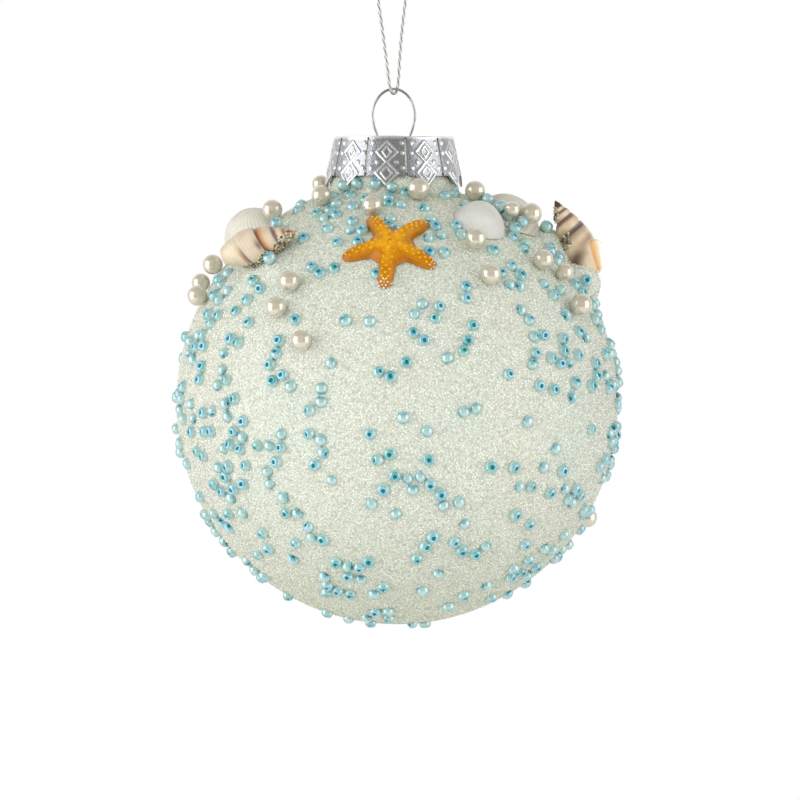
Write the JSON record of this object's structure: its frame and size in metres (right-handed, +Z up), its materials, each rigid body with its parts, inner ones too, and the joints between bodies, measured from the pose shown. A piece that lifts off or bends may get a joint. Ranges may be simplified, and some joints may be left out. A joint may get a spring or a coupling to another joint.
{
  "type": "christmas bauble",
  "caption": "Hanging Christmas bauble: a hollow glass ball under a beaded coat, trimmed with a starfish, sea shells and pearls, with a metal cap, wire hanger and cord loop.",
  "frame": {"origin": "inside the top of the cord's loop, under its knot, where the bauble hangs", "axes": "+Z up along the neck and cap, -Y towards the front where the starfish is, +X to the right seen from the front"},
  "size_m": [0.0999, 0.1012, 0.1531],
  "materials": {
    "coat": "glass microbeads glued all over, with seed beads",
    "cap_metal": "pressed and embossed, bright",
    "wire": "bright drawn wire",
    "cord": "twisted metallic silver thread",
    "resin": "clear orange cast resin",
    "whelk": "natural shell, polished, with brown bands",
    "valve": "natural shell, pale",
    "pearl": "pearl coating"
  },
  "bodies": {
    "root": {"glass_ball": "coat", "cap": "cap_metal", "wire_hanger": "wire", "hanging_cord": "cord", "knot": "cord", "starfish": "resin", "whelk_left": "whelk", "whelk_right": "whelk", "smooth_valve": "valve", "clam_valve": "valve", "ribbed_valve": "valve", "pearl_01": "pearl", "pearl_02": "pearl", "pearl_03": "pearl", "pearl_04": "pearl", "pearl_05": "pearl", "pearl_06": "pearl", "pearl_07": "pearl", "pearl_08": "pearl", "pearl_09": "pearl", "pearl_10": "pearl", "pearl_11": "pearl", "pearl_12": "pearl", "pearl_13": "pearl", "pearl_14": "pearl", "pearl_15": "pearl", "pearl_16": "pearl", "pearl_17": "pearl", "pearl_18": "pearl", "pearl_19": "pearl", "pearl_20": "pearl", "pearl_21": "pearl", "pearl_22": "pearl", "pearl_23": "pearl", "pearl_24": "pearl", "pearl_25": "pearl"}
  },
  "joints": []
}
